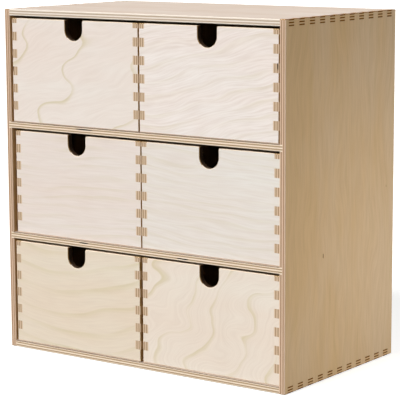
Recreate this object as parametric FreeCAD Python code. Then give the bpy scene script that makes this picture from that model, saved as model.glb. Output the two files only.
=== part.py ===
import FreeCAD, Part
import os

# Desktop chest of six small drawers, finger-jointed in birch plywood. Millimetres.
# The origin is the middle of the underside. +X is right, +Y is the back and +Z is up,
# so the drawers open towards -Y.

# Case
case_width = 310.0
case_depth = 180.0
case_height = 318.0
board_thickness = 6.0
shelf_housing_depth = 3.0
back_thickness = 3.0
back_groove_depth = 3.0
back_inset = 5.0

# Drawers: the play is what a row, or a bay, leaves free around them
side_play = 4.0
depth_play = 4.0
head_play = 2.2
glide_clearance = 0.3
base_thickness = 3.0
base_groove_depth = 3.0
base_rise = 4.0

# Finger notch in the top edge of each drawer front
notch_width = 20.0
notch_straight = 8.5
notch_mouth_radius = 1.5

# Finger joints: the leads run from the front edge of the case, and from a drawer's lower edge
finger_width = 8.0
case_lead = 4.5
drawer_lead = 11.0

# Every outward edge is sanded to a flat this wide on both faces
arris_width = 0.5

# How far a cut or a region runs past what it bounds, and how close counts as the same place
overrun = 2.0
same_place = 0.001
sharp_edge_sine = 0.5

# Rows from the bottom up. For each row: the shares of the side play left of, between and
# right of its two drawers, and the share of the depth play by which each is pushed in.
rows = ("lower", "middle", "upper")
columns = ("left", "right")
shelves = ("lower_shelf", "upper_shelf")
side_play_shares = {
    "lower": (0.375, 0.55, 0.075),
    "middle": (0.75, 0.15, 0.1),
    "upper": (0.475, 0.225, 0.3),
}
push_in_shares = {
    "lower": (0.3, 0.45),
    "middle": (0.5, 0.5),
    "upper": (0.25, 0.25),
}

# Places on the case
side_x = case_width / 2
inner_x = side_x - board_thickness
front_y = -case_depth / 2
rear_y = case_depth / 2
back_rear_y = rear_y - back_inset
back_front_y = back_rear_y - back_thickness
bay_height = (case_height - (len(rows) + 1) * board_thickness) / len(rows)
bay_pitch = bay_height + board_thickness

# Size of a drawer
drawer_width = (2 * inner_x - side_play) / len(columns)
drawer_depth = back_front_y - front_y - depth_play
drawer_height = bay_height - glide_clearance - head_play

x_axis = FreeCAD.Vector(1, 0, 0)
y_axis = FreeCAD.Vector(0, 1, 0)
z_axis = FreeCAD.Vector(0, 0, 1)


def box(x_range, y_range, z_range):
    """Block between two places on each axis."""
    low, high = zip(x_range, y_range, z_range)
    size = [end - start for start, end in zip(low, high)]
    return Part.makeBox(*size, FreeCAD.Vector(*low))


def finger_spans(length, lead):
    """Start and end of each finger along a joint of that length; gaps are as wide."""
    spans = []
    start = lead
    while start < length:
        spans.append((start, start + finger_width))
        start += 2 * finger_width
    return spans


def comb(spans, reach_in_spans, reach_between, origin, across, along, thickness):
    """Board region whose two ends are stepped alike, with the middle line through origin.

    Its ends stand at one reach within the spans and at the other between them.
    """
    edge = [(reach_between, -overrun)]
    for start, end in spans:
        edge += [
            (reach_between, start),
            (reach_in_spans, start),
            (reach_in_spans, end),
            (reach_between, end),
        ]
    edge.append((reach_between, spans[-1][1] + finger_width + overrun))
    other_edge = [(-reach, place) for reach, place in reversed(edge)]
    corners = [origin + across * reach + along * place for reach, place in edge + other_edge]
    outline = Part.makePolygon(corners + corners[:1])
    return Part.Face(outline).extrude(thickness)


def outward_arrises(solid):
    """Sharp edges of the solid that stick out, as a sanding block would find them."""
    probe = arris_width / 2
    arrises = []
    for edge in solid.Edges:
        middle = edge.valueAt((edge.FirstParameter + edge.LastParameter) / 2)
        faces = solid.ancestorsOfType(edge, Part.Face)
        normals = [face.normalAt(*face.Surface.parameter(middle)) for face in faces]
        if len(normals) < 2 or normals[0].cross(normals[1]).Length < sharp_edge_sine:
            continue
        beside = middle + (normals[0] - normals[1]) * probe
        if not solid.isInside(beside, probe / 10, True):
            arrises.append(edge)
    return arrises


def sanded(solid):
    """The glued-up solid with every outward arris taken off."""
    return solid.makeChamfer(arris_width, outward_arrises(solid))


def bay_floor(row):
    """Height of the surface that the drawers of a row stand on."""
    return board_thickness + rows.index(row) * bay_pitch


def case_block():
    """The glued-up case: a block with the three bays and the recess behind the back."""
    block = box((-side_x, side_x), (front_y, rear_y), (0, case_height))
    inner_range = (-inner_x, inner_x)
    hollows = [
        box(inner_range, (front_y - overrun, back_front_y), (bay_floor(row), bay_floor(row) + bay_height))
        for row in rows
    ]
    recess_range = (board_thickness, case_height - board_thickness)
    hollows.append(box(inner_range, (back_rear_y, rear_y + overrun), recess_range))
    return sanded(block.cut(hollows))


def case_back():
    """Thin back panel, let into the sides, top and bottom."""
    reach = inner_x + back_groove_depth
    bottom = board_thickness - back_groove_depth
    return box((-reach, reach), (back_front_y, back_rear_y), (bottom, case_height - bottom))


def shelf_region(row):
    """Space of the shelf that carries a row, its ends in their housings."""
    reach = inner_x + shelf_housing_depth
    top = bay_floor(row)
    return box((-reach, reach), (front_y - overrun, back_front_y), (top - board_thickness, top))


def case_side(block, back, housings, direction):
    """Side board: socketed at both ends, housed for the shelves, grooved for the back."""
    region = comb(
        finger_spans(case_depth, case_lead),
        case_height / 2 - board_thickness,
        case_height / 2 + overrun,
        FreeCAD.Vector(direction * inner_x, front_y, case_height / 2),
        z_axis,
        y_axis,
        x_axis * direction * (board_thickness + overrun),
    )
    return block.common(region).cut([back] + housings)


def case_deck(block, back, inner_z, direction):
    """Top or bottom board: its fingers come through the sides."""
    region = comb(
        finger_spans(case_depth, case_lead),
        side_x + overrun,
        inner_x,
        FreeCAD.Vector(0, front_y, inner_z),
        x_axis,
        y_axis,
        z_axis * direction * (board_thickness + overrun),
    )
    return block.common(region).cut(back)


def case_boards():
    """Every board of the case by name."""
    block = case_block()
    back = case_back()
    housings = [shelf_region(row) for row in rows[1:]]
    boards = {
        "case_left_side": case_side(block, back, housings, -1),
        "case_right_side": case_side(block, back, housings, 1),
        "case_bottom": case_deck(block, back, board_thickness, -1),
        "case_top": case_deck(block, back, case_height - board_thickness, 1),
        "case_back": back,
    }
    for name, housing in zip(shelves, housings):
        boards[name] = block.common(housing)
    return boards


def notch():
    """Cutter for the round-bottomed finger notch through the front wall of a drawer."""
    half = notch_width / 2
    shoulder = drawer_height - notch_straight
    top = drawer_height + overrun
    left_shoulder = FreeCAD.Vector(-half, -overrun, shoulder)
    right_shoulder = FreeCAD.Vector(half, -overrun, shoulder)
    left_top = FreeCAD.Vector(-half, -overrun, top)
    right_top = FreeCAD.Vector(half, -overrun, top)
    lowest = FreeCAD.Vector(0, -overrun, shoulder - half)
    outline = Part.Wire([
        Part.LineSegment(left_top, left_shoulder).toShape(),
        Part.Arc(left_shoulder, lowest, right_shoulder).toShape(),
        Part.LineSegment(right_shoulder, right_top).toShape(),
        Part.LineSegment(right_top, left_top).toShape(),
    ])
    return Part.Face(outline).extrude(y_axis * (board_thickness + 2 * overrun))


def mouth_edges(walls):
    """The two edges across the front wall where the notch meets the rim."""
    reach = notch_width / 2
    middles = [FreeCAD.Vector(x, board_thickness / 2, drawer_height) for x in (-reach, reach)]
    return [
        edge
        for edge in walls.Edges
        if any(edge.CenterOfMass.isEqual(middle, same_place) for middle in middles)
    ]


def drawer_walls():
    """The four glued-up walls of a drawer, from x centred, y and z zero at its lower front edge."""
    half = drawer_width / 2
    walls = box((-half, half), (0, drawer_depth), (0, drawer_height))
    hollow = box(
        (board_thickness - half, half - board_thickness),
        (board_thickness, drawer_depth - board_thickness),
        (-overrun, drawer_height + overrun),
    )
    walls = walls.cut([hollow, notch()])
    walls = walls.makeFillet(notch_mouth_radius, mouth_edges(walls))
    return sanded(walls)


def drawer_base():
    """Thin base panel, let into the four walls just above their lower edges."""
    wall = board_thickness - base_groove_depth
    half = drawer_width / 2 - wall
    return box((-half, half), (wall, drawer_depth - wall), (base_rise, base_rise + base_thickness))


def drawer_end(walls, base, inner_y, direction):
    """Front or back board: full width between the fingers of the side boards."""
    region = comb(
        finger_spans(drawer_height, drawer_lead),
        drawer_width / 2 - board_thickness,
        drawer_width / 2 + overrun,
        FreeCAD.Vector(0, inner_y, 0),
        x_axis,
        z_axis,
        y_axis * direction * (board_thickness + overrun),
    )
    return walls.common(region).cut(base)


def drawer_side(walls, base, direction):
    """Side board: its fingers come through the front and the back."""
    inner = drawer_width / 2 - board_thickness
    region = comb(
        finger_spans(drawer_height, drawer_lead),
        drawer_depth / 2 + overrun,
        drawer_depth / 2 - board_thickness,
        FreeCAD.Vector(direction * inner, drawer_depth / 2, 0),
        y_axis,
        z_axis,
        x_axis * direction * (board_thickness + overrun),
    )
    return walls.common(region).cut(base)


def drawer_boards():
    """Every board of one drawer by name, in the drawer's own frame."""
    walls = drawer_walls()
    base = drawer_base()
    return {
        "front": drawer_end(walls, base, board_thickness, -1),
        "back": drawer_end(walls, base, drawer_depth - board_thickness, 1),
        "left_side": drawer_side(walls, base, -1),
        "right_side": drawer_side(walls, base, 1),
        "base": base,
    }


def drawer_place(row, column):
    """Where the middle of a drawer's lower front edge lies in its bay."""
    index = columns.index(column)
    play_to_the_left = sum(side_play_shares[row][: index + 1]) * side_play
    left_x = play_to_the_left - inner_x + index * drawer_width
    push_in = push_in_shares[row][index] * depth_play
    return FreeCAD.Vector(left_x + drawer_width / 2, front_y + push_in, bay_floor(row) + glide_clearance)


def main():
    os.makedirs("parts", exist_ok=True)
    boards = case_boards()
    one_drawer = drawer_boards()
    for row in rows:
        for column in columns:
            place = drawer_place(row, column)
            for name, board in one_drawer.items():
                boards[f"{row}_{column}_drawer_{name}"] = board.translated(place)
    for name, board in boards.items():
        board.exportStep(f"parts/{name}.step")


main()
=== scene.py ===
"""Looks of a desktop chest of six birch plywood drawers: finishes, studio and camera.

Laid out as a Blender add-on and run as a script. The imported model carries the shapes, and
everything here is put on it or round it. Metres, with the drawers opening towards -Y, and
millimetres for the patterns of the wood.
"""

import math
from typing import NamedTuple

import bpy
from bpy.props import FloatProperty, FloatVectorProperty, PointerProperty
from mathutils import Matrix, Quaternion, Vector


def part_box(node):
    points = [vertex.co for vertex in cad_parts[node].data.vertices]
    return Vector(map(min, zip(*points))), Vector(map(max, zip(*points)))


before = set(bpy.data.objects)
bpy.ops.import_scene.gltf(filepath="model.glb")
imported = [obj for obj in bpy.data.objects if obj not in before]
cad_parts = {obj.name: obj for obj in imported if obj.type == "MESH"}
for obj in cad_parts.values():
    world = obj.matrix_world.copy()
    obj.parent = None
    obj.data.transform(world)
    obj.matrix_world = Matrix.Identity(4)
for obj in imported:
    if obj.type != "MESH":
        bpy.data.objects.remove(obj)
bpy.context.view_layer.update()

bl_info = {
    "name": "Desktop drawer chest",
    "version": (1, 0, 0),
    "blender": (4, 5, 0),
    "location": "3D View > Sidebar > Drawer Chest",
    "description": "Finishes and lights a chest of six small plywood drawers",
    "category": "Object",
}

rows = ("lower", "middle", "upper")
columns = ("left", "right")
drawers = [f"{row}_{column}_drawer" for row in rows for column in columns]

mm_per_metre = 1000.0
x_axis, y_axis, z_axis = range(3)

# Places of the Mix node's inputs and of its output when it mixes colours
mix_share, mix_first, mix_second = 0, 6, 7
mix_result = 2

# How squarely a spot faces an axis of its board, which tells faces, ends and arrises apart
face_from = 0.9
end_cut_from = 0.5
notch_wall_below = 0.6
arris_facing = math.sqrt(0.5)
arris_spread = 0.1

# Plies of the boards and of the thin panels
board_plies, panel_plies = 5, 3

# Each pattern of a veneer reads its own layer of the noise, this far above the figure's seed
fibre_layer = 0.2
patch_layer = 0.5
fading_layer = 0.8

# Levels of the noise between which each pattern comes up
patch_low, patch_high = 0.35, 0.65
fibre_low, fibre_high = 0.35, 0.75
fading_low, fading_high = 0.35, 0.6

# Where a growth ring fades, this share of its depth is left
faintest_ring = 0.15

# Early wood takes at least this share of a ring, and late wood darkens over most of its width
least_early_wood = 0.2
darkening_share = 0.85

# Half the length of grain over which a figure sags, in mm
sag_reach = 60.0


def linear(hex_colour):
    """Linear RGBA of an sRGB hex colour."""
    shares = [int(hex_colour[start : start + 2], 16) / 255 for start in (1, 3, 5)]
    return [s / 12.92 if s <= 0.04045 else ((s + 0.055) / 1.055) ** 2.4 for s in shares] + [1.0]


def colour(name, description, hex_colour):
    """Colour property with an sRGB hex default."""
    return FloatVectorProperty(
        name=name,
        description=description,
        subtype="COLOR",
        size=4,
        min=0.0,
        max=1.0,
        default=linear(hex_colour),
    )


def millimetres(name, description, default):
    """Length property in millimetres."""
    return FloatProperty(name=name, description=description, default=default, min=0.01)


def share(name, description, default):
    """Share property, from none to all."""
    return FloatProperty(
        name=name, description=description, default=default, min=0.0, max=1.0, subtype="FACTOR"
    )


class DrawerChestWood(bpy.types.PropertyGroup):
    """Colours and grain sizes of the plywood."""

    cool_patch: colour("Cool patch", "Greyest sapwood of the face veneers", "#eae6e0")
    rosy_patch: colour("Rosy patch", "Sapwood with the most blush", "#e8d2c6")
    top_face: colour("Flat veneer", "Faces of the case top, its bottom and the shelves", "#d4c2b4")
    case_face: colour("Upright veneer", "Faces of the case sides and back", "#debb8b")
    box_face: colour("Drawer veneer", "Sides, backs and bases of the drawers", "#dcbf94")
    late_wood: colour("Late wood, fronts", "Darker end of each growth ring", "#beae64")
    streak: colour("Fibre streak, fronts", "Darker fibres of the face veneer", "#bfa692")
    case_late_wood: colour("Late wood, case and boxes", "Darker end of each growth ring", "#b39656")
    case_streak: colour("Fibre streak, case and boxes", "Darker fibres of yellower veneer", "#b6926c")
    flat_light_ply: colour("Light ply, flat boards and fronts", "Plies cut along the grain", "#f0dec7")
    flat_dark_ply: colour("Dark ply, flat boards and fronts", "Plies cut across the grain", "#b29677")
    upright_light_ply: colour("Light ply, upright boards", "Plies cut along the grain", "#d9bda3")
    upright_dark_ply: colour("Dark ply, upright boards", "Plies cut across the grain", "#a8866a")
    finger_light_ply: colour("Light ply, drawer boxes", "Plies cut along the grain", "#d6bda1")
    finger_dark_ply: colour("Dark ply, drawer boxes", "Plies cut across the grain", "#a98c6e")
    case_end_grain: colour("End grain, case", "Dark plies on the ends of the case boards", "#7a4c16")
    box_end_grain: colour("End grain, drawers", "Dark plies on the ends of the drawer boards", "#97733f")
    fleck: colour("Pith fleck", "Short brown marks in the case sides", "#8a6434")
    # Painted shade: the notch wall is coloured dark brown, for the shadow inside the notch
    notch_wall_shade: colour("Notch wall", "Cut wall of a finger notch, darkened as painted shade", "#4a3526")
    core_gap: colour("Core gap", "Dark hollow where a core veneer falls short", "#120b07")
    # Painted shade: a dark line on the upper arrises of the shelves and the case bottom, for the shade
    # under the drawers
    arris_shade: colour("Arris shade", "Upper arrises darkened as painted shade", "#66523d")
    paleness: share("Paleness", "Share of the cool colour in the paler patches", 0.16)
    flat_paleness: share("Paleness, flat boards", "Share of the cool colour in their paler patches", 0.3)
    top_light_coolness: share("Top's light plies", "Share of the cool colour in them", 0.5)
    top_dark_coolness: share("Top's dark plies", "Share of the cool colour in them", 0.2)
    fibre_length: millimetres("Fibre length", "Length of the streaks that fibres draw, mm", 24.0)
    fibre_width: millimetres("Fibre width", "Width of those streaks, wide enough to show, mm", 1.6)
    fibre_depth: share("Fibre depth", "Share of the streak's colour in the darkest ones", 0.17)
    late_width: millimetres("Late wood width", "Width of the dark end of a growth ring, mm", 9.0)
    patch_length: millimetres("Patch length", "Length of the warmer and cooler patches, mm", 150.0)
    patch_width: millimetres("Patch width", "Width of those patches, mm", 40.0)
    ply_wobble: share("Ply wobble", "How far plies wander, as a share of their thickness", 0.4)
    wobble_length: millimetres("Wobble length", "Length over which the plies wander, mm", 50.0)
    fleck_length: millimetres("Fleck spacing along", "Length of the cell of a pith fleck, mm", 24.0)
    fleck_width: millimetres("Fleck spacing across", "Width of the cell of a pith fleck, mm", 7.0)
    fleck_size: share("Fleck size", "Half a pith fleck, as a share of its cell", 0.1)
    bare_cells: share("Bare cells", "Share of the cells that hold no pith fleck", 0.975)
    core_gap_height: millimetres("Core gap height", "Height of a hollow in the core, mm", 1.1)
    notch_reach: millimetres("Notch reach", "From the middle of a front to its notch wall, mm", 10.4)
    notch_depth: millimetres("Notch depth", "From the rim of a front to the foot of its notch, mm", 19.0)
    relief: millimetres("Fibre relief", "Height of the relief that the fibres leave, mm", 0.2)
    relief_strength: share("Relief strength", "How strongly that relief turns the light", 0.2)
    gloss: share("Lacquer gloss", "Specular level of the matt lacquer", 0.12)
    face_roughness: share("Face roughness", "Roughness of the lacquered faces", 0.6)
    edge_roughness: share("Edge roughness", "Roughness of the sawn edges", 0.8)


class DrawerChestFronts(bpy.types.PropertyGroup):
    """Veneer colour of each drawer front, because no two sheets match."""

    upper_left_drawer: colour("Upper left front", "Pale, with a blush", "#ebe0d6")
    upper_right_drawer: colour("Upper right front", "The palest", "#f2e8e1")
    middle_left_drawer: colour("Middle left front", "Rosy", "#e7dbd2")
    middle_right_drawer: colour("Middle right front", "Greyish", "#e6e1d9")
    lower_left_drawer: colour("Lower left front", "Honey", "#e3d4bc")
    lower_right_drawer: colour("Lower right front", "Light honey", "#e9dccb")
    patch_share: share("Patchiness", "Share of the cool and rosy colours in the patches", 0.25)


class DrawerChestStudio(bpy.types.PropertyGroup):
    """Floor, lights and camera."""

    floor_colour: colour("Floor", "Seamless paper under the chest", "#dcdcda")
    floor_size: FloatProperty(
        name="Floor size", description="Side of the floor", default=24.0, min=1.0, unit="LENGTH"
    )
    floor_roughness: share("Floor roughness", "Roughness of the matt paper", 0.9)
    floor_bounce: share("Floor bounce", "Share of the floor's colour that lights the chest", 0.2)
    floor_lift: share("Floor lift", "Light that the floor adds to itself for the eye alone", 0.65)
    dim_sky: share("Dim sky", "Light from the front, where the studio is dark", 0.0)
    bright_sky: share("Bright sky", "Light from the studio's bright corner", 0.6)
    bright_turn: FloatProperty(
        name="Bright corner turn",
        description="How far the bright corner stands right of straight ahead",
        default=math.radians(150.0),
        subtype="ANGLE",
    )
    bright_height: FloatProperty(
        name="Bright corner height",
        description="Height of the bright corner above the horizon",
        default=math.radians(25.0),
        subtype="ANGLE",
    )
    bright_edge: FloatProperty(
        name="Bright corner edge",
        description="Cosine of the angle from the bright corner at which its light has faded",
        default=-0.3,
        min=-1.0,
        max=1.0,
    )
    key: FloatProperty(name="Key", description="Strength of the key light", default=3.93, min=0.0)
    key_turn: FloatProperty(
        name="Key turn",
        description="How far the key light stands left of straight ahead",
        default=math.radians(20.0),
        subtype="ANGLE",
    )
    key_height: FloatProperty(
        name="Key height",
        description="Height of the key light above the horizon",
        default=math.radians(40.0),
        subtype="ANGLE",
    )
    key_spread: FloatProperty(
        name="Key spread",
        description="Angle that the key light fills, for soft shadows",
        default=math.radians(30.0),
        subtype="ANGLE",
    )
    fill: FloatProperty(
        name="Fill", description="Power of the low lamp on the right, watts", default=0.57, min=0.0
    )
    fill_place: FloatVectorProperty(
        name="Fill place",
        description="Where the low lamp stands",
        default=(0.5, 0.08, 0.1),
        subtype="TRANSLATION",
        unit="LENGTH",
    )
    fill_size: FloatProperty(
        name="Fill size", description="Side of the low lamp", default=0.12, min=0.01, unit="LENGTH"
    )
    camera_turn: FloatProperty(
        name="Camera turn",
        description="How far the camera stands right of straight ahead",
        default=math.radians(36.085),
        subtype="ANGLE",
    )
    camera_height: FloatProperty(
        name="Camera height",
        description="Angle of the camera above the horizon",
        default=math.radians(9.138),
        subtype="ANGLE",
    )
    camera_roll: FloatProperty(
        name="Camera roll",
        description="Turn of the picture about its middle",
        default=math.radians(-0.258),
        subtype="ANGLE",
    )
    camera_distance: FloatProperty(
        name="Camera distance",
        description="From the camera to the point that it looks at",
        default=1.6588,
        min=0.1,
        unit="LENGTH",
    )
    camera_target: FloatVectorProperty(
        name="Camera target",
        description="Point that the camera looks at",
        default=(0.0014, 0.0, 0.14196),
        subtype="TRANSLATION",
        unit="LENGTH",
    )
    camera_lens: FloatProperty(
        name="Lens", description="Focal length for a 36 mm wide sensor, mm", default=161.23, min=1.0
    )


class Board(NamedTuple):
    """How a board was cut from its sheet: axes of its face grain and of its thickness."""

    grain: int
    through: int

    @property
    def across(self):
        """The axis that is left."""
        return x_axis + y_axis + z_axis - self.grain - self.through


class Parts(NamedTuple):
    """Parts of a vector along the grain of a board, across it and through the board."""

    along: bpy.types.NodeSocket
    across: bpy.types.NodeSocket
    through: bpy.types.NodeSocket


class Sheet(NamedTuple):
    """Colours of a sheet of plywood: its face veneer, and its plies on side cuts and end cuts."""

    pale: list
    warm: list
    late_wood: list
    streak: list
    light_ply: list
    dark_ply: list
    light_end: list
    dark_end: list


class Figure(NamedTuple):
    """Pattern that growth rings and fibres draw on a face veneer."""

    # Place in the noise. Its fraction shifts the lines too
    seed: float
    # How steeply the lines rise against the grain, in degrees
    lean: float
    # From one line to the next, in mm
    pitch: float
    # How far a swirl can shift the lines, and its length and width, in mm
    wander: float
    length: float
    width: float
    # How dark the lines are, from 0 to 1
    depth: float
    # How far the middle of a line hangs below its points at the sag reach, in mm
    sag: float = 0.0
    # How strong the fibre streaks are, as a share of the usual
    streaks: float = 1.0
    # How far the fibres turn with the lines, from 0 to 1
    follow: float = 0.0
    # How fast the veneer turns warmer across the grain, per mm
    drift: float = 0.0


class CoreGap(NamedTuple):
    """Hollow in a core veneer: place along the grain and through the board, and length, in mm."""

    along: float
    through: float
    length: float


plain_figure = Figure(
    seed=0, lean=1, pitch=9, wander=26, length=150, width=34, depth=0.18, follow=0.2
)
top_figure = plain_figure._replace(seed=91, streaks=1.8)
back_figure = plain_figure._replace(seed=97)
side_figure = Figure(
    seed=566.1,
    lean=1,
    pitch=12,
    wander=50,
    length=110,
    width=36,
    depth=0.1,
    streaks=1.4,
    follow=0.7,
    # The drift turns the side veneers warmer towards the front and paler towards the back: painted
    # light, for the whiter light that falls on the sides from behind
    drift=-0.0022,
)

# Seeds that give each case side, each flat board and each board of a drawer its own figure
side_seeds = {"case_left_side": side_figure.seed, "case_right_side": side_figure.seed + 6}
flat_seeds = {"case_bottom": 73, "lower_shelf": 79, "upper_shelf": 85}
first_drawer_seed = 101
drawer_seed_step = 10
board_seed_step = 2

# Veneer turned off the log meets each growth ring almost flat, so each front has its own swirls
front_figures = {
    "upper_left_drawer": Figure(
        seed=500.2,
        lean=66,
        pitch=74,
        wander=110,
        length=60,
        width=40,
        depth=0.42,
        streaks=0.8,
        follow=0.3,
    ),
    "upper_right_drawer": Figure(
        seed=536.9,
        lean=12,
        pitch=13,
        wander=26,
        length=80,
        width=36,
        depth=0.15,
        streaks=1.7,
        follow=1.0,
    ),
    "middle_left_drawer": Figure(
        seed=23,
        lean=2,
        pitch=9,
        wander=14,
        length=70,
        width=24,
        depth=0.16,
        streaks=0.9,
        follow=0.5,
    ),
    "middle_right_drawer": Figure(
        seed=31,
        lean=-3,
        pitch=8,
        wander=16,
        length=80,
        width=24,
        depth=0.12,
        sag=2,
        streaks=1.1,
        follow=0.8,
    ),
    "lower_left_drawer": Figure(
        seed=515.0,
        lean=3,
        pitch=18,
        wander=20,
        length=90,
        width=44,
        depth=0.24,
        sag=8,
        streaks=0.9,
        follow=0.7,
    ),
    "lower_right_drawer": Figure(
        seed=515.0,
        lean=58,
        pitch=34,
        wander=72,
        length=54,
        width=36,
        depth=0.36,
        follow=0.9,
    ),
}

# Where the core shows a hollow on an edge, as natural plywood does
core_gaps = {
    "upper_shelf": (CoreGap(along=-62, through=1.2, length=20),),
    "lower_shelf": (
        CoreGap(along=-64, through=1.2, length=11),
        CoreGap(along=48, through=-1.2, length=13),
    ),
    "upper_left_drawer_left_side": (CoreGap(along=2, through=-2.4, length=7),),
    "upper_right_drawer_right_side": (CoreGap(along=18, through=1.7, length=9),),
}


def add_node(tree, kind, inputs, **settings):
    """Add a node, set it up, and feed its inputs with values, sockets or other nodes."""
    node = tree.nodes.new(kind)
    for name, value in settings.items():
        setattr(node, name, value)
    for key, value in inputs.items():
        if isinstance(value, bpy.types.Node):
            value = next(output for output in value.outputs if output.enabled)
        if isinstance(value, bpy.types.NodeSocket):
            tree.links.new(value, node.inputs[key])
        else:
            node.inputs[key].default_value = value
    return node


def board_size(node_name, axis):
    """Size of a board along one axis, in mm."""
    low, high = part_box(node_name)
    return (high - low)[axis] * mm_per_metre


def board_parts(tree, board, vector):
    """Split a vector into its parts along the grain, across it and through the board."""
    parts = add_node(tree, "ShaderNodeSeparateXYZ", {0: vector}).outputs
    return Parts(parts[board.grain], parts[board.across], parts[board.through])


def place_on_board(tree, node_name, board):
    """Place on a board in mm, counted from its middle."""
    low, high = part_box(node_name)
    spot = add_node(tree, "ShaderNodeTexCoord", {}).outputs["Object"]
    middle = (low + high) / 2
    from_middle = add_node(tree, "ShaderNodeVectorMath", {0: spot, 1: middle}, operation="SUBTRACT")
    in_mm = add_node(
        tree, "ShaderNodeVectorMath", {0: from_middle, "Scale": mm_per_metre}, operation="SCALE"
    )
    return board_parts(tree, board, in_mm)


def stretched_noise(tree, along, across, seed, length, width, detail):
    """Noise whose cells have that length and width in mm."""
    sheet = add_node(tree, "ShaderNodeCombineXYZ", {0: along, 1: across, 2: seed})
    cells = add_node(
        tree, "ShaderNodeVectorMath", {0: sheet, 1: (1 / length, 1 / width, 1.0)}, operation="MULTIPLY"
    )
    return add_node(tree, "ShaderNodeTexNoise", {"Vector": cells, "Scale": 1.0, "Detail": detail})


def ring_count(tree, place, figure):
    """How many growth rings lie between the middle of the board and each place on it."""
    lean = math.radians(figure.lean)
    swirl = stretched_noise(
        tree,
        place.along,
        place.across,
        figure.seed,
        length=figure.length,
        width=figure.width,
        detail=1.2,
    )
    level = add_node(
        tree,
        "ShaderNodeMath",
        {0: place.across, 1: math.cos(lean) / figure.pitch, 2: figure.seed},
        operation="MULTIPLY_ADD",
    )
    leaning = add_node(
        tree,
        "ShaderNodeMath",
        {0: place.along, 1: -math.sin(lean) / figure.pitch, 2: level},
        operation="MULTIPLY_ADD",
    )
    square = add_node(tree, "ShaderNodeMath", {0: place.along, 1: place.along}, operation="MULTIPLY")
    sagging = add_node(
        tree,
        "ShaderNodeMath",
        {0: square, 1: -figure.sag / sag_reach**2 / figure.pitch, 2: leaning},
        operation="MULTIPLY_ADD",
    )
    return add_node(
        tree,
        "ShaderNodeMath",
        {0: swirl, 1: figure.wander / figure.pitch, 2: sagging},
        operation="MULTIPLY_ADD",
    )


def growth_rings(tree, place, rings, figure, wood):
    """Darkness of the growth rings, which swells and fades towards the end of each one."""
    growth = add_node(tree, "ShaderNodeMath", {0: rings}, operation="FRACT")
    late_start = max(least_early_wood, 1 - wood.late_width / figure.pitch)
    darkest = late_start + (1 - late_start) * darkening_share
    rise = add_node(
        tree,
        "ShaderNodeMapRange",
        {"Value": growth, "From Min": late_start, "From Max": darkest},
        interpolation_type="SMOOTHSTEP",
    )
    fall = add_node(
        tree,
        "ShaderNodeMapRange",
        {"Value": growth, "From Min": darkest, "To Min": 1.0, "To Max": 0.0},
        interpolation_type="SMOOTHSTEP",
    )
    slow_rise = add_node(tree, "ShaderNodeMath", {0: rise, 1: rise}, operation="MULTIPLY")
    tone = add_node(tree, "ShaderNodeMath", {0: slow_rise, 1: fall}, operation="MINIMUM")
    fading = stretched_noise(
        tree,
        place.along,
        place.across,
        figure.seed + fading_layer,
        length=figure.length,
        width=figure.width,
        detail=1.0,
    )
    strength = add_node(
        tree,
        "ShaderNodeMapRange",
        {
            "Value": fading,
            "From Min": fading_low,
            "From Max": fading_high,
            "To Min": faintest_ring * figure.depth,
            "To Max": figure.depth,
        },
    )
    return add_node(tree, "ShaderNodeMath", {0: tone, 1: strength}, operation="MULTIPLY")


def veneer_ground(tree, place, figure, sheet, wood):
    """Colour of a face veneer under its figure: patches of cooler and of rosier sapwood."""
    patches = stretched_noise(
        tree,
        place.along,
        place.across,
        figure.seed + patch_layer,
        length=wood.patch_length,
        width=wood.patch_width,
        detail=3.0,
    )
    # The figure's drift shifts the patches across the grain; on the case sides this paints paler light
    # towards the back
    drifting = add_node(
        tree, "ShaderNodeMath", {0: place.across, 1: figure.drift, 2: patches}, operation="MULTIPLY_ADD"
    )
    warmth = add_node(
        tree,
        "ShaderNodeMapRange",
        {"Value": drifting, "From Min": patch_low, "From Max": patch_high},
    )
    return add_node(
        tree,
        "ShaderNodeMix",
        {mix_share: warmth, mix_first: sheet.pale, mix_second: sheet.warm},
        data_type="RGBA",
    )


def fibre_noise(tree, place, rings, figure, wood):
    """Noise of the fibre streaks, which turn with the growth rings where the figure says so.

    Single fibres are too fine to show in the render, so the streaks are drawn as coarse as they
    need to be.
    """
    plain_level = add_node(
        tree, "ShaderNodeMath", {0: place.across, 1: 1 - figure.follow}, operation="MULTIPLY"
    )
    level = add_node(
        tree,
        "ShaderNodeMath",
        {0: rings, 1: figure.follow * figure.pitch, 2: plain_level},
        operation="MULTIPLY_ADD",
    )
    return stretched_noise(
        tree,
        place.along,
        level,
        figure.seed + fibre_layer,
        length=wood.fibre_length,
        width=wood.fibre_width,
        detail=2.0,
    )


def face_veneer(tree, place, figure, sheet, wood):
    """Colour of a face veneer, and the noise of its fibres."""
    rings = ring_count(tree, place, figure)
    fibres = fibre_noise(tree, place, rings, figure, wood)
    fibre_share = add_node(
        tree,
        "ShaderNodeMapRange",
        {
            "Value": fibres,
            "From Min": fibre_low,
            "From Max": fibre_high,
            "To Max": wood.fibre_depth * figure.streaks,
        },
    )
    streaked = add_node(
        tree,
        "ShaderNodeMix",
        {
            mix_share: fibre_share,
            mix_first: veneer_ground(tree, place, figure, sheet, wood),
            mix_second: sheet.streak,
        },
        data_type="RGBA",
    )
    ringed = add_node(
        tree,
        "ShaderNodeMix",
        {
            mix_share: growth_rings(tree, place, rings, figure, wood),
            mix_first: streaked,
            mix_second: sheet.late_wood,
        },
        data_type="RGBA",
    )
    return ringed, fibres


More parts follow.
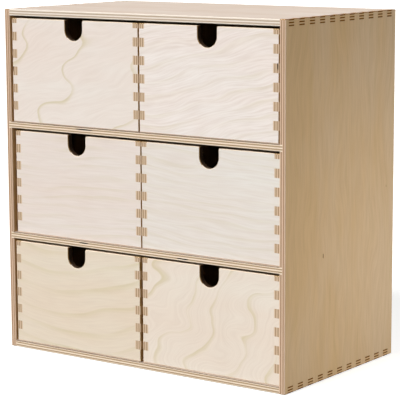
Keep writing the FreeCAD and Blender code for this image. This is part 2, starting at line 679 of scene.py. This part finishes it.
def ply_edges(tree, place, facing, thickness, plies, sheet, wood):
    """Colour of a sawn edge, where plies cut along and across their grain show by turns."""
    end_facing = add_node(tree, "ShaderNodeMath", {0: facing.along}, operation="ABSOLUTE")
    end_cut = add_node(
        tree, "ShaderNodeMath", {0: end_facing, 1: end_cut_from}, operation="GREATER_THAN"
    )
    wobble = stretched_noise(
        tree,
        place.along,
        place.across,
        0.0,
        length=wood.wobble_length,
        width=wood.wobble_length,
        detail=2.0,
    )
    ply = thickness / plies
    reach = wood.ply_wobble * ply
    bent = add_node(
        tree, "ShaderNodeMath", {0: wobble, 1: reach, 2: place.through}, operation="MULTIPLY_ADD"
    )
    level = add_node(tree, "ShaderNodeMath", {0: bent, 1: reach / 2}, operation="SUBTRACT")
    depth = add_node(tree, "ShaderNodeMath", {0: level}, operation="ABSOLUTE")
    nearest_cross = ply if plies == board_plies else 0.0
    cross = add_node(
        tree, "ShaderNodeMath", {0: depth, 1: nearest_cross, 2: ply / 2}, operation="COMPARE"
    )
    # Cross plies are the dark ones on a side cut, and the others on an end cut
    difference = add_node(tree, "ShaderNodeMath", {0: cross, 1: end_cut}, operation="SUBTRACT")
    dark = add_node(tree, "ShaderNodeMath", {0: difference}, operation="ABSOLUTE")
    dark_colour = add_node(
        tree,
        "ShaderNodeMix",
        {mix_share: end_cut, mix_first: sheet.dark_ply, mix_second: sheet.dark_end},
        data_type="RGBA",
    )
    light_colour = add_node(
        tree,
        "ShaderNodeMix",
        {mix_share: end_cut, mix_first: sheet.light_ply, mix_second: sheet.light_end},
        data_type="RGBA",
    )
    return add_node(
        tree,
        "ShaderNodeMix",
        {mix_share: dark, mix_first: light_colour, mix_second: dark_colour},
        data_type="RGBA",
    )


def pith_flecks(tree, place, seed, wood):
    """1 in short marks along the grain, in few of the cells that could hold one."""
    sheet = add_node(tree, "ShaderNodeCombineXYZ", {0: place.along, 1: place.across, 2: seed})
    cells = add_node(
        tree,
        "ShaderNodeVectorMath",
        {0: sheet, 1: (1 / wood.fleck_length, 1 / wood.fleck_width, 1.0)},
        operation="MULTIPLY",
    )
    cell = add_node(tree, "ShaderNodeTexVoronoi", {"Vector": cells, "Scale": 1.0}).outputs
    near = add_node(
        tree, "ShaderNodeMath", {0: cell["Distance"], 1: wood.fleck_size}, operation="LESS_THAN"
    )
    lot = add_node(tree, "ShaderNodeSeparateColor", {0: cell["Color"]})
    drawn = add_node(tree, "ShaderNodeMath", {0: lot, 1: wood.bare_cells}, operation="GREATER_THAN")
    return add_node(tree, "ShaderNodeMath", {0: near, 1: drawn}, operation="MULTIPLY")


def notch_share(tree, node_name, board, place, facing, wood):
    """1 on the wall of the notch in a drawer front, where its shade is painted, and 0 on its sanded
    arris.
    """
    rim = board_size(node_name, board.across) / 2
    sideways = add_node(tree, "ShaderNodeMath", {0: place.along}, operation="ABSOLUTE")
    within = add_node(
        tree, "ShaderNodeMath", {0: sideways, 1: wood.notch_reach}, operation="LESS_THAN"
    )
    above = add_node(
        tree, "ShaderNodeMath", {0: place.across, 1: rim - wood.notch_depth}, operation="GREATER_THAN"
    )
    notch = add_node(tree, "ShaderNodeMath", {0: within, 1: above}, operation="MULTIPLY")
    face_facing = add_node(tree, "ShaderNodeMath", {0: facing.through}, operation="ABSOLUTE")
    wall = add_node(
        tree, "ShaderNodeMath", {0: face_facing, 1: notch_wall_below}, operation="LESS_THAN"
    )
    return add_node(tree, "ShaderNodeMath", {0: notch, 1: wall}, operation="MULTIPLY")


def core_gap_share(tree, place, gap, wood):
    """1 inside a hollow of the core, which is a flat oval."""
    spot = add_node(tree, "ShaderNodeCombineXYZ", {0: place.along, 1: place.through})
    away = add_node(
        tree,
        "ShaderNodeVectorMath",
        {0: spot, 1: (gap.along, gap.through, 0.0)},
        operation="SUBTRACT",
    )
    sized = add_node(
        tree,
        "ShaderNodeVectorMath",
        {0: away, 1: (2 / gap.length, 2 / wood.core_gap_height, 0.0)},
        operation="MULTIPLY",
    )
    reach = add_node(tree, "ShaderNodeVectorMath", {0: sized}, operation="LENGTH").outputs["Value"]
    return add_node(tree, "ShaderNodeMath", {0: reach, 1: 1.0}, operation="LESS_THAN")


def arris_shade_share(tree, facing):
    """1 on the upper arrises of a flat board, where painted shade goes."""
    return add_node(
        tree,
        "ShaderNodeMath",
        {0: facing.through, 1: arris_facing, 2: arris_spread},
        operation="COMPARE",
    )


def marked(tree, ground, marks):
    """A colour with marks on it, each given as the places that it covers and its own colour."""
    for covered, mark_colour in marks:
        ground = add_node(
            tree,
            "ShaderNodeMix",
            {mix_share: covered, mix_first: ground, mix_second: mark_colour},
            data_type="RGBA",
        )
    return ground


def edge_marks(tree, node_name, board, place, facing, wood, notched, shaded_arrises):
    """Marks on the sawn edges of a board: painted shade in the notch, hollows in the core and painted
    shade along the upper arrises.
    """
    marks = []
    # The notch wall takes painted shade, for the shadow inside the notch
    if notched:
        wall = notch_share(tree, node_name, board, place, facing, wood)
        marks.append((wall, wood.notch_wall_shade))
    for gap in core_gaps.get(node_name, ()):
        marks.append((core_gap_share(tree, place, gap, wood), wood.core_gap))
    # The upper arrises take painted shade, for the dark groove under each drawer
    if shaded_arrises:
        marks.append((arris_shade_share(tree, facing), wood.arris_shade))
    return marks


def plywood(
    node_name, board, figure, sheet, wood, plies=board_plies, flecked=False, notched=False, shaded_arrises=False
):
    """Birch plywood with a clear matt lacquer, for one board of the chest.

    The veneers were turned off the log, which draws broad soft swirls on the faces. The board was
    sawn after pressing, so its rim shows the plies as pale and brown stripes. The lacquer leaves
    the wood its own colour and a faint sheen that mirrors nothing.
    """
    material = bpy.data.materials.new(f"Birch plywood, clear lacquered: {node_name}")
    material.use_nodes = True
    tree = material.node_tree
    place = place_on_board(tree, node_name, board)
    normal = add_node(tree, "ShaderNodeTexCoord", {}).outputs["Normal"]
    facing = board_parts(tree, board, normal)
    face, fibres = face_veneer(tree, place, figure, sheet, wood)
    if flecked:
        face = marked(tree, face, [(pith_flecks(tree, place, figure.seed, wood), wood.fleck)])
    thickness = board_size(node_name, board.through)
    edge = ply_edges(tree, place, facing, thickness, plies, sheet, wood)
    marks = edge_marks(tree, node_name, board, place, facing, wood, notched, shaded_arrises)
    face_facing = add_node(tree, "ShaderNodeMath", {0: facing.through}, operation="ABSOLUTE")
    on_face = add_node(
        tree, "ShaderNodeMath", {0: face_facing, 1: face_from}, operation="GREATER_THAN"
    )
    whole = add_node(
        tree,
        "ShaderNodeMix",
        {mix_share: on_face, mix_first: marked(tree, edge, marks), mix_second: face},
        data_type="RGBA",
    )
    roughness = add_node(
        tree,
        "ShaderNodeMapRange",
        {"Value": on_face, "To Min": wood.edge_roughness, "To Max": wood.face_roughness},
    )
    bump = add_node(
        tree,
        "ShaderNodeBump",
        {"Height": fibres, "Strength": wood.relief_strength, "Distance": wood.relief / mm_per_metre},
    )
    lacquer = tree.nodes["Principled BSDF"]
    lacquer.inputs["Specular IOR Level"].default_value = wood.gloss
    tree.links.new(whole.outputs[mix_result], lacquer.inputs["Base Color"])
    tree.links.new(roughness.outputs[0], lacquer.inputs["Roughness"])
    tree.links.new(bump.outputs[0], lacquer.inputs["Normal"])
    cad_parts[node_name].data.materials.clear()
    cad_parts[node_name].data.materials.append(material)


def mixed(first, second, second_share):
    """Colour between two others."""
    return [a + (b - a) * second_share for a, b in zip(first, second)]


class DRAWERCHEST_OT_case(bpy.types.Operator):
    """Finish the boards of the case"""

    bl_idname = "drawer_chest.case"
    bl_label = "Finish the Case"

    def execute(self, context):
        wood = context.scene.drawer_chest_wood
        upright = Board(grain=z_axis, through=x_axis)
        flat = Board(grain=x_axis, through=z_axis)
        back = Board(grain=z_axis, through=y_axis)
        upright_sheet = Sheet(
            pale=mixed(wood.case_face, wood.cool_patch, wood.paleness),
            warm=wood.case_face,
            late_wood=wood.case_late_wood,
            streak=wood.case_streak,
            light_ply=wood.upright_light_ply,
            dark_ply=wood.upright_dark_ply,
            light_end=wood.case_face,
            dark_end=wood.case_end_grain,
        )
        flat_sheet = upright_sheet._replace(
            pale=mixed(wood.top_face, wood.cool_patch, wood.flat_paleness),
            warm=wood.top_face,
            light_ply=wood.flat_light_ply,
            dark_ply=wood.flat_dark_ply,
        )
        top_sheet = flat_sheet._replace(
            light_ply=mixed(wood.flat_light_ply, wood.cool_patch, wood.top_light_coolness),
            dark_ply=mixed(wood.flat_dark_ply, wood.cool_patch, wood.top_dark_coolness),
        )
        for name, seed in side_seeds.items():
            plywood(name, upright, side_figure._replace(seed=seed), upright_sheet, wood, flecked=True)
        # The flat boards get painted shade along their upper arrises
        for name, seed in flat_seeds.items():
            plywood(name, flat, plain_figure._replace(seed=seed), flat_sheet, wood, shaded_arrises=True)
        plywood("case_top", flat, top_figure, top_sheet, wood)
        plywood("case_back", back, back_figure, upright_sheet, wood, plies=panel_plies)
        return {"FINISHED"}


class DRAWERCHEST_OT_fronts(bpy.types.Operator):
    """Finish the six drawer fronts, each with its own figure"""

    bl_idname = "drawer_chest.fronts"
    bl_label = "Finish the Drawer Fronts"

    def execute(self, context):
        wood = context.scene.drawer_chest_wood
        fronts = context.scene.drawer_chest_fronts
        board = Board(grain=x_axis, through=y_axis)
        for drawer in drawers:
            veneer = getattr(fronts, drawer)
            sheet = Sheet(
                pale=mixed(veneer, wood.cool_patch, fronts.patch_share),
                warm=mixed(veneer, wood.rosy_patch, fronts.patch_share),
                late_wood=wood.late_wood,
                streak=wood.streak,
                light_ply=wood.flat_light_ply,
                dark_ply=wood.flat_dark_ply,
                light_end=wood.box_face,
                dark_end=wood.box_end_grain,
            )
            plywood(f"{drawer}_front", board, front_figures[drawer], sheet, wood, notched=True)
        return {"FINISHED"}


class DRAWERCHEST_OT_boxes(bpy.types.Operator):
    """Finish the sides, backs and bases of the drawers"""

    bl_idname = "drawer_chest.boxes"
    bl_label = "Finish the Drawer Boxes"

    def execute(self, context):
        wood = context.scene.drawer_chest_wood
        sheet = Sheet(
            pale=mixed(wood.box_face, wood.cool_patch, wood.paleness),
            warm=wood.box_face,
            late_wood=wood.case_late_wood,
            streak=wood.case_streak,
            light_ply=wood.finger_light_ply,
            dark_ply=wood.finger_dark_ply,
            light_end=wood.box_face,
            dark_end=wood.box_end_grain,
        )
        side = Board(grain=z_axis, through=x_axis)
        back = Board(grain=x_axis, through=y_axis)
        base = Board(grain=x_axis, through=z_axis)
        boards = (
            ("left_side", side, board_plies),
            ("right_side", side, board_plies),
            ("back", back, board_plies),
            ("base", base, panel_plies),
        )
        for drawer_index, drawer in enumerate(drawers):
            drawer_seed = first_drawer_seed + drawer_seed_step * drawer_index
            for board_index, (name, board, plies) in enumerate(boards):
                figure = plain_figure._replace(seed=drawer_seed + board_seed_step * board_index)
                plywood(f"{drawer}_{name}", board, figure, sheet, wood, plies=plies)
        return {"FINISHED"}


def seen_rays(tree):
    """1 for rays that the eye follows: straight, by gloss or through glass."""
    rays = add_node(tree, "ShaderNodeLightPath", {}).outputs
    glossy_or_clear = add_node(
        tree,
        "ShaderNodeMath",
        {0: rays["Is Glossy Ray"], 1: rays["Is Transmission Ray"]},
        operation="MAXIMUM",
    )
    return add_node(
        tree, "ShaderNodeMath", {0: rays["Is Camera Ray"], 1: glossy_or_clear}, operation="MAXIMUM"
    )


def seamless_paper(studio):
    """Matt background paper, which throws no glare and is lifted to white for the eye alone."""
    material = bpy.data.materials.new("Seamless background paper, matt")
    material.use_nodes = True
    tree = material.node_tree
    seen = seen_rays(tree)
    lift = add_node(tree, "ShaderNodeMath", {0: seen, 1: studio.floor_lift}, operation="MULTIPLY")
    dim_colour = mixed((0.0, 0.0, 0.0, 1.0), studio.floor_colour, studio.floor_bounce)
    shown = add_node(
        tree,
        "ShaderNodeMix",
        {mix_share: seen, mix_first: dim_colour, mix_second: studio.floor_colour},
        data_type="RGBA",
    )
    paper = tree.nodes["Principled BSDF"]
    paper.inputs["Roughness"].default_value = studio.floor_roughness
    paper.inputs["Specular IOR Level"].default_value = 0.0
    paper.inputs["Emission Color"].default_value = (1.0, 1.0, 1.0, 1.0)
    tree.links.new(shown.outputs[mix_result], paper.inputs["Base Color"])
    tree.links.new(lift.outputs[0], paper.inputs["Emission Strength"])
    return material


def lay_floor(studio):
    """Large square of paper, a hair under the chest so that the two share no plane."""
    reach = studio.floor_size / 2
    below = -0.0002
    mesh = bpy.data.meshes.new("floor")
    corners = [
        (-reach, -reach, below),
        (reach, -reach, below),
        (reach, reach, below),
        (-reach, reach, below),
    ]
    mesh.from_pydata(corners, [], [(0, 1, 2, 3)])
    floor = bpy.data.objects.new("floor", mesh)
    floor.data.materials.append(seamless_paper(studio))
    bpy.context.scene.collection.objects.link(floor)


def towards(turn, height):
    """Unit vector from the chest to something that stands at those angles."""
    return Vector((
        math.sin(turn) * math.cos(height),
        -math.cos(turn) * math.cos(height),
        math.sin(height),
    ))


def light_sky(studio):
    """Sky that lights most from one corner behind the chest, and is seen as white."""
    world = bpy.data.worlds.new("studio sky")
    bpy.context.scene.world = world
    world.use_nodes = True
    tree = world.node_tree
    direction = add_node(tree, "ShaderNodeTexCoord", {}).outputs["Generated"]
    corner = towards(studio.bright_turn, studio.bright_height)
    nearness = add_node(tree, "ShaderNodeVectorMath", {0: direction, 1: corner}, operation="DOT_PRODUCT")
    light = add_node(
        tree,
        "ShaderNodeMapRange",
        {
            "Value": nearness,
            "From Min": studio.bright_edge,
            "To Min": studio.dim_sky,
            "To Max": studio.bright_sky,
        },
    )
    strength = add_node(
        tree, "ShaderNodeMapRange", {"Value": seen_rays(tree), "To Min": light, "To Max": 1.0}
    )
    sky = tree.nodes["Background"]
    sky.inputs["Color"].default_value = (1.0, 1.0, 1.0, 1.0)
    tree.links.new(strength.outputs[0], sky.inputs["Strength"])


def hang_key_light(studio):
    """Large soft light in front of the chest, above it and a little to the left."""
    lamp = bpy.data.lights.new("key light", "SUN")
    lamp.energy = studio.key
    lamp.angle = studio.key_spread
    key = bpy.data.objects.new("key light", lamp)
    key.rotation_mode = "QUATERNION"
    key.rotation_quaternion = towards(-studio.key_turn, studio.key_height).to_track_quat("Z", "Y")
    bpy.context.scene.collection.objects.link(key)


def stand_fill_light(studio):
    """Low soft lamp behind the chest on the right, which lifts the foot of that side."""
    lamp = bpy.data.lights.new("fill light", "AREA")
    lamp.energy = studio.fill
    lamp.size = studio.fill_size
    fill = bpy.data.objects.new("fill light", lamp)
    fill.location = studio.fill_place
    fill.rotation_mode = "QUATERNION"
    fill.rotation_quaternion = Vector(studio.fill_place).to_track_quat("Z", "Y")
    fill.visible_camera = False
    bpy.context.scene.collection.objects.link(fill)


def set_camera(studio):
    """Camera at the photograph's viewing angle."""
    lens = bpy.data.cameras.new("camera")
    lens.lens = studio.camera_lens
    camera = bpy.data.objects.new("camera", lens)
    away = towards(studio.camera_turn, studio.camera_height)
    camera.location = Vector(studio.camera_target) + away * studio.camera_distance
    camera.rotation_mode = "QUATERNION"
    roll = Quaternion((0.0, 0.0, 1.0), studio.camera_roll)
    camera.rotation_quaternion = away.to_track_quat("Z", "Y") @ roll
    bpy.context.scene.collection.objects.link(camera)
    bpy.context.scene.camera = camera


class DRAWERCHEST_OT_studio(bpy.types.Operator):
    """Lay the floor, set the lights and place the camera"""

    bl_idname = "drawer_chest.studio"
    bl_label = "Set Up the Studio"

    def execute(self, context):
        studio = context.scene.drawer_chest_studio
        lay_floor(studio)
        light_sky(studio)
        hang_key_light(studio)
        stand_fill_light(studio)
        set_camera(studio)
        context.scene.view_settings.view_transform = "Standard"
        return {"FINISHED"}


class DRAWERCHEST_PT_sidebar(bpy.types.Panel):
    """Sizes, colours and steps of the drawer chest"""

    bl_idname = "DRAWERCHEST_PT_sidebar"
    bl_label = "Drawer Chest"
    bl_space_type = "VIEW_3D"
    bl_region_type = "UI"
    bl_category = "Drawer Chest"

    def draw(self, context):
        for operator in steps:
            self.layout.operator(operator.bl_idname)
        scene = context.scene
        for group in (scene.drawer_chest_wood, scene.drawer_chest_fronts, scene.drawer_chest_studio):
            box = self.layout.box()
            for name in group.__annotations__:
                box.prop(group, name)


steps = (DRAWERCHEST_OT_case, DRAWERCHEST_OT_fronts, DRAWERCHEST_OT_boxes, DRAWERCHEST_OT_studio)
classes = (
    DrawerChestWood,
    DrawerChestFronts,
    DrawerChestStudio,
    *steps,
    DRAWERCHEST_PT_sidebar,
)


def register():
    """Register the classes, and hang the three property groups on the scene."""
    for each in classes:
        bpy.utils.register_class(each)
    bpy.types.Scene.drawer_chest_wood = PointerProperty(type=DrawerChestWood)
    bpy.types.Scene.drawer_chest_fronts = PointerProperty(type=DrawerChestFronts)
    bpy.types.Scene.drawer_chest_studio = PointerProperty(type=DrawerChestStudio)


def unregister():
    """Take away what register put there."""
    del bpy.types.Scene.drawer_chest_studio
    del bpy.types.Scene.drawer_chest_fronts
    del bpy.types.Scene.drawer_chest_wood
    for each in reversed(classes):
        bpy.utils.unregister_class(each)


def main():
    """Run every step in order."""
    register()
    bpy.ops.drawer_chest.case()
    bpy.ops.drawer_chest.fronts()
    bpy.ops.drawer_chest.boxes()
    bpy.ops.drawer_chest.studio()


if __name__ == "__main__":
    main()
